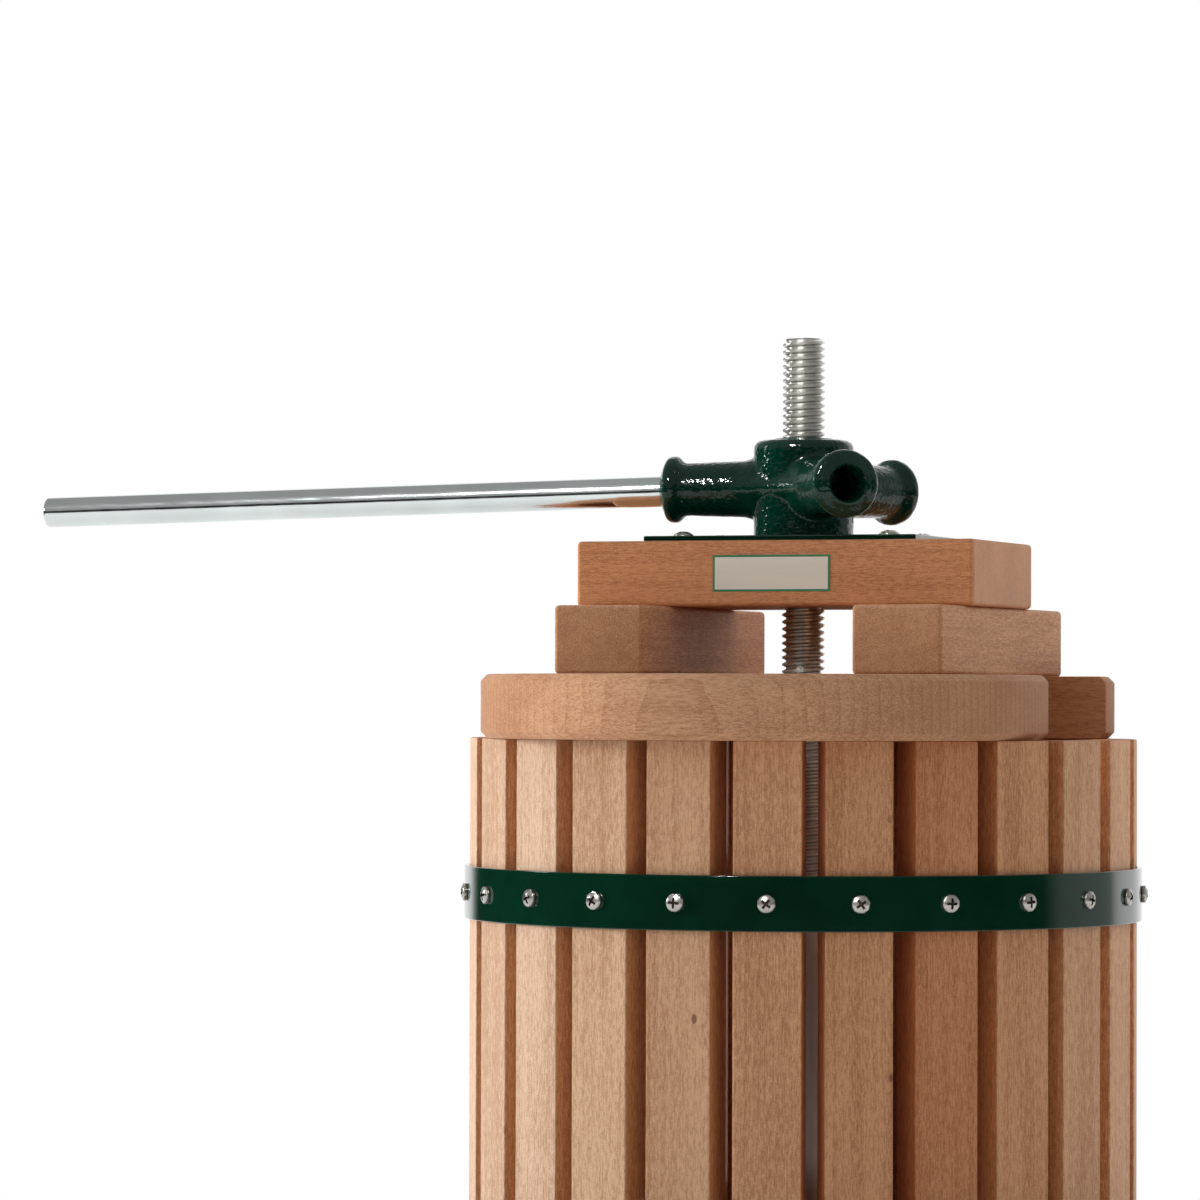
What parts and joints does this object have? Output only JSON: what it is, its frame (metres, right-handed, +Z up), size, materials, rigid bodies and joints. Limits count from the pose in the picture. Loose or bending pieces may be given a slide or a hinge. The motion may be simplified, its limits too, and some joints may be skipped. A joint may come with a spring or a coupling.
{
  "type": "fruit press",
  "caption": "Hand fruit press: slatted beech basket with steel hoops, half discs, blocks and board, a three socket screw head with a steel bar, on a spouted tray with three legs.",
  "frame": {"origin": "centre of the circle of the three foot bolt holes, on the floor under the spindle", "axes": "+Z up along the spindle; the top board's length runs along X, the bar points towards -X, and the spout and the board's labelled face look towards -Y"},
  "size_m": [0.5191, 0.4469, 0.5839],
  "materials": {
    "beech": "planed bare beech, unvarnished, fine pores",
    "green_sheet": "dark green gloss enamel on pressed sheet steel",
    "green_casting": "dark green gloss enamel over a rough sand casting",
    "polished_steel": "bright drawn and polished steel bar",
    "turned_steel": "bright turned steel, zinc plated",
    "screw_steel": "polished stainless pan head screws",
    "seal_rubber": "black matt rubber",
    "label_film": "printed film, cream with a plain green border"
  },
  "bodies": {
    "stand": {"tray": "green_sheet", "spout": "green_sheet", "base_plate": "green_sheet", "leg_left": "green_sheet", "leg_right": "green_sheet", "leg_rear": "green_sheet", "leg_bolts": "turned_steel", "leg_nuts": "turned_steel", "spindle": "turned_steel", "spindle_seal": "seal_rubber", "spindle_washer": "turned_steel", "spindle_nut": "turned_steel"},
    "basket": {"slat_01": "beech", "slat_02": "beech", "slat_03": "beech", "slat_04": "beech", "slat_05": "beech", "slat_06": "beech", "slat_07": "beech", "slat_08": "beech", "slat_09": "beech", "slat_10": "beech", "slat_11": "beech", "slat_12": "beech", "slat_13": "beech", "slat_14": "beech", "slat_15": "beech", "slat_16": "beech", "slat_17": "beech", "slat_18": "beech", "slat_19": "beech", "slat_20": "beech", "slat_21": "beech", "slat_22": "beech", "slat_23": "beech", "slat_24": "beech", "upper_hoop": "green_sheet", "lower_hoop": "green_sheet", "upper_hoop_screws": "screw_steel", "lower_hoop_screws": "screw_steel"},
    "front_half": {"half_disc_front": "beech"},
    "rear_half": {"half_disc_rear": "beech"},
    "left_bearer": {"left_block": "beech"},
    "right_bearer": {"right_block": "beech"},
    "pressing_board": {"top_board": "beech", "pressure_plate": "green_sheet", "plate_screws": "screw_steel", "label": "label_film"},
    "head": {"press_head": "green_casting"},
    "bar": {"handle_bar": "polished_steel"}
  },
  "joints": [
    {"name": "basket_turn", "type": "hinge", "parent": "stand", "child": "basket", "pos_m": [0, 0, 0.153], "axis": [0, 0, 1], "continuous": true},
    {"name": "front_disc_slide", "type": "slide", "parent": "basket", "child": "front_half", "axis": [0, -1, 0], "range_m": [-0.03, 0.03]},
    {"name": "rear_disc_slide", "type": "slide", "parent": "basket", "child": "rear_half", "axis": [0, 1, 0], "range_m": [-0.03, 0.03]},
    {"name": "left_block_slide", "type": "slide", "parent": "basket", "child": "left_bearer", "axis": [-1, 0, 0], "range_m": [-0.03, 0.025]},
    {"name": "right_block_slide", "type": "slide", "parent": "basket", "child": "right_bearer", "axis": [1, 0, 0], "range_m": [-0.03, 0.025]},
    {"name": "board_rise", "type": "slide", "parent": "stand", "child": "pressing_board", "axis": [0, 0, 1], "range_m": [0, 0.042]},
    {"name": "head_turn", "type": "hinge", "parent": "pressing_board", "child": "head", "pos_m": [0, 0, 0.51], "axis": [0, 0, 1], "range_deg": [0, 5040]},
    {"name": "bar_pull", "type": "slide", "parent": "head", "child": "bar", "axis": [-0.9959, -0.0871, -0.0262], "range_m": [0, 0.042]}
  ],
  "couplings": [
    {"joint": "board_rise", "follows": "head_turn", "m_per_rad": 0.00047746}
  ]
}
